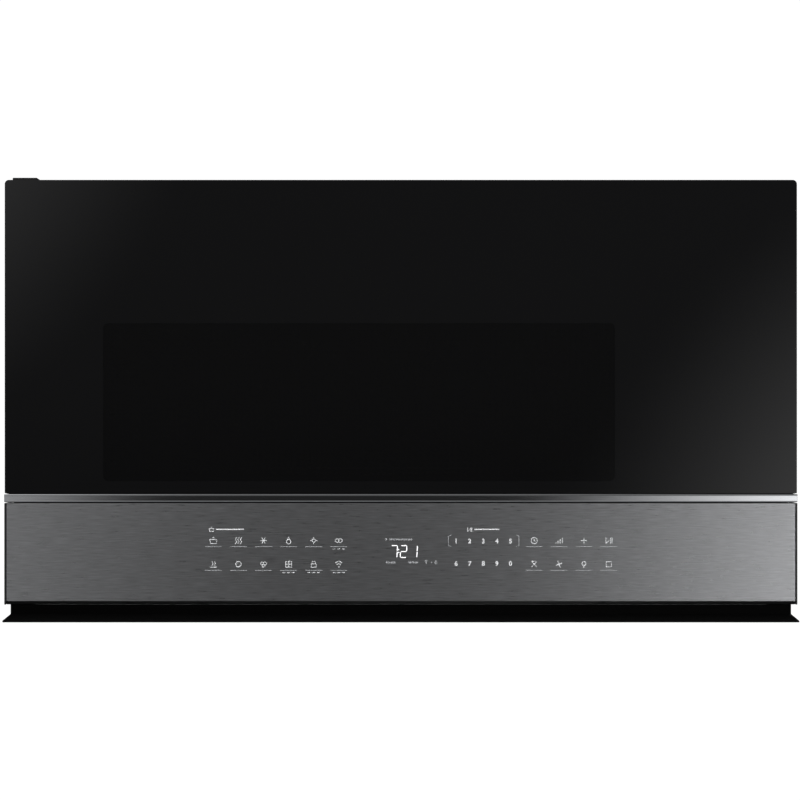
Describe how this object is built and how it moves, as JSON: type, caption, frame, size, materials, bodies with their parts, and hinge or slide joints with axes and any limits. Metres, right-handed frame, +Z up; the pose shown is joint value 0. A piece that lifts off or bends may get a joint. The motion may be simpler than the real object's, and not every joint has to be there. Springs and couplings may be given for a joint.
{
  "type": "over the range microwave",
  "caption": "Wall-hung microwave oven with a full-width black glass door hinged at its left, a brushed steel touch panel below and a flared base skirt.",
  "frame": {"origin": "middle of the wall plate's back face, which lies on the wall, 200 mm above the underside of the base skirt", "axes": "+Y into the wall, so the door faces -Y; +X to the right of someone facing the door; +Z up"},
  "size_m": [0.7632, 0.4008, 0.4263],
  "materials": {
    "black_glass": "back-painted black tempered glass, mirror smooth",
    "black_gloss": "smoked display window, gloss",
    "black_plastic": "moulded, fine texture",
    "black_paint": "black powder coat, fine texture",
    "brushed_steel": "dark stainless, brushed horizontally",
    "bright_trim": "bright metal strip, bevelled and satin",
    "galvanised": "galvanised sheet",
    "enamel": "baked grey oven enamel",
    "clear_glass": "clear, polished",
    "white_plastic": "moulded",
    "copper": "lacquered copper",
    "laminations": "varnished steel laminations",
    "board": "coated circuit board",
    "mica": "pressed mica sheet",
    "charcoal": "granules behind a net",
    "filter_mesh": "expanded aluminium mesh in a folded rim",
    "lamp_lens": "frosted and ribbed",
    "rubber": "matt"
  },
  "bodies": {
    "unit": {"wall_plate": "galvanised", "rear_panel": "galvanised", "case_wrap": "black_paint", "front_frame": "black_paint", "base_pan": "black_paint", "base_skirt": "black_paint", "plenum_plate": "galvanised", "hinge_bracket_top": "black_paint", "hinge_bracket_bottom": "black_paint", "cord_gland": "rubber", "oven_cavity": "enamel", "cavity_lamp": "white_plastic", "waveguide_cover": "mica", "turntable_motor": "galvanised", "waveguide": "galvanised", "magnetron_yoke": "galvanised", "magnetron_core": "copper", "transformer_core": "laminations", "transformer_winding": "copper", "capacitor": "galvanised", "noise_filter_board": "board", "cooling_fan_frame": "black_plastic", "blower_scroll_left": "galvanised", "blower_scroll_right": "galvanised", "blower_motor": "laminations", "damper_frame": "galvanised", "vent_grille": "black_plastic", "charcoal_filter": "charcoal", "cooktop_lamp_left": "lamp_lens", "cooktop_lamp_right": "lamp_lens", "panel_fascia": "brushed_steel", "panel_housing": "black_plastic", "panel_end_left": "black_plastic", "panel_end_right": "black_plastic", "display_module": "black_gloss", "control_board": "board", "interlock_bracket": "white_plastic", "door_switch_lower": "black_plastic", "door_switch_upper": "black_plastic"},
    "door": {"door_glass": "black_glass", "door_frame": "black_plastic", "door_trim_strip": "bright_trim", "door_choke": "galvanised", "door_screen": "black_paint", "door_inner_glass": "clear_glass", "door_back_cover": "black_plastic", "latch_spring": "galvanised"},
    "latch": {"latch_bar": "white_plastic"},
    "turntable": {"drive_coupler": "white_plastic", "glass_tray": "clear_glass"},
    "roller_ring": {"roller_ring": "white_plastic"},
    "roller_1": {"roller_1": "white_plastic"},
    "roller_2": {"roller_2": "white_plastic"},
    "roller_3": {"roller_3": "white_plastic"},
    "blower_rotor": {"blower_rotor": "black_plastic"},
    "cooling_fan": {"cooling_fan_rotor": "black_plastic"},
    "damper": {"damper_flap": "galvanised"},
    "grease_filter_left": {"grease_filter_left": "filter_mesh"},
    "grease_filter_right": {"grease_filter_right": "filter_mesh"}
  },
  "joints": [
    {"name": "door_swing", "type": "hinge", "parent": "unit", "child": "door", "pos_m": [-0.366, -0.378, 0], "axis": [0, 0, -1], "range_deg": [0, 110]},
    {"name": "latch_lift", "type": "slide", "parent": "door", "child": "latch", "axis": [0, 0, 1], "range_m": [0, 0.004], "stiffness_N_per_m": 300, "springref_m": -0.006, "deforming": ["latch_spring"]},
    {"name": "turntable_spin", "type": "hinge", "parent": "unit", "child": "turntable", "pos_m": [-0.04, -0.2062, -0.0587], "axis": [0, 0, 1], "continuous": true},
    {"name": "roller_ring_spin", "type": "hinge", "parent": "unit", "child": "roller_ring", "pos_m": [-0.04, -0.2062, -0.0587], "axis": [0, 0, 1], "continuous": true},
    {"name": "roller_1_spin", "type": "hinge", "parent": "roller_ring", "child": "roller_1", "pos_m": [0.066, -0.2062, -0.0587], "axis": [1, 0, 0], "continuous": true},
    {"name": "roller_2_spin", "type": "hinge", "parent": "roller_ring", "child": "roller_2", "pos_m": [-0.093, -0.1144, -0.0587], "axis": [-0.5, 0.866, 0], "continuous": true},
    {"name": "roller_3_spin", "type": "hinge", "parent": "roller_ring", "child": "roller_3", "pos_m": [-0.093, -0.298, -0.0587], "axis": [-0.5, -0.866, 0], "continuous": true},
    {"name": "blower_spin", "type": "hinge", "parent": "unit", "child": "blower_rotor", "pos_m": [0, -0.11, 0.1763], "axis": [1, 0, 0], "continuous": true},
    {"name": "cooling_fan_spin", "type": "hinge", "parent": "unit", "child": "cooling_fan", "pos_m": [0.3, -0.0158, 0.05], "axis": [0, 1, 0], "continuous": true},
    {"name": "damper_swing", "type": "hinge", "parent": "unit", "child": "damper", "pos_m": [0, -0.072, 0.2159], "axis": [-1, 0, 0], "range_deg": [0, 75]},
    {"name": "grease_filter_left_slide", "type": "slide", "parent": "unit", "child": "grease_filter_left", "axis": [0, 1, 0], "range_m": [0, 0.012]},
    {"name": "grease_filter_right_slide", "type": "slide", "parent": "unit", "child": "grease_filter_right", "axis": [0, 1, 0], "range_m": [0, 0.012]}
  ],
  "couplings": [
    {"joint": "roller_ring_spin", "follows": "turntable_spin", "ratio": 0.5},
    {"joint": "roller_1_spin", "follows": "turntable_spin", "ratio": -5.8889},
    {"joint": "roller_2_spin", "follows": "turntable_spin", "ratio": -5.8889},
    {"joint": "roller_3_spin", "follows": "turntable_spin", "ratio": -5.8889}
  ]
}
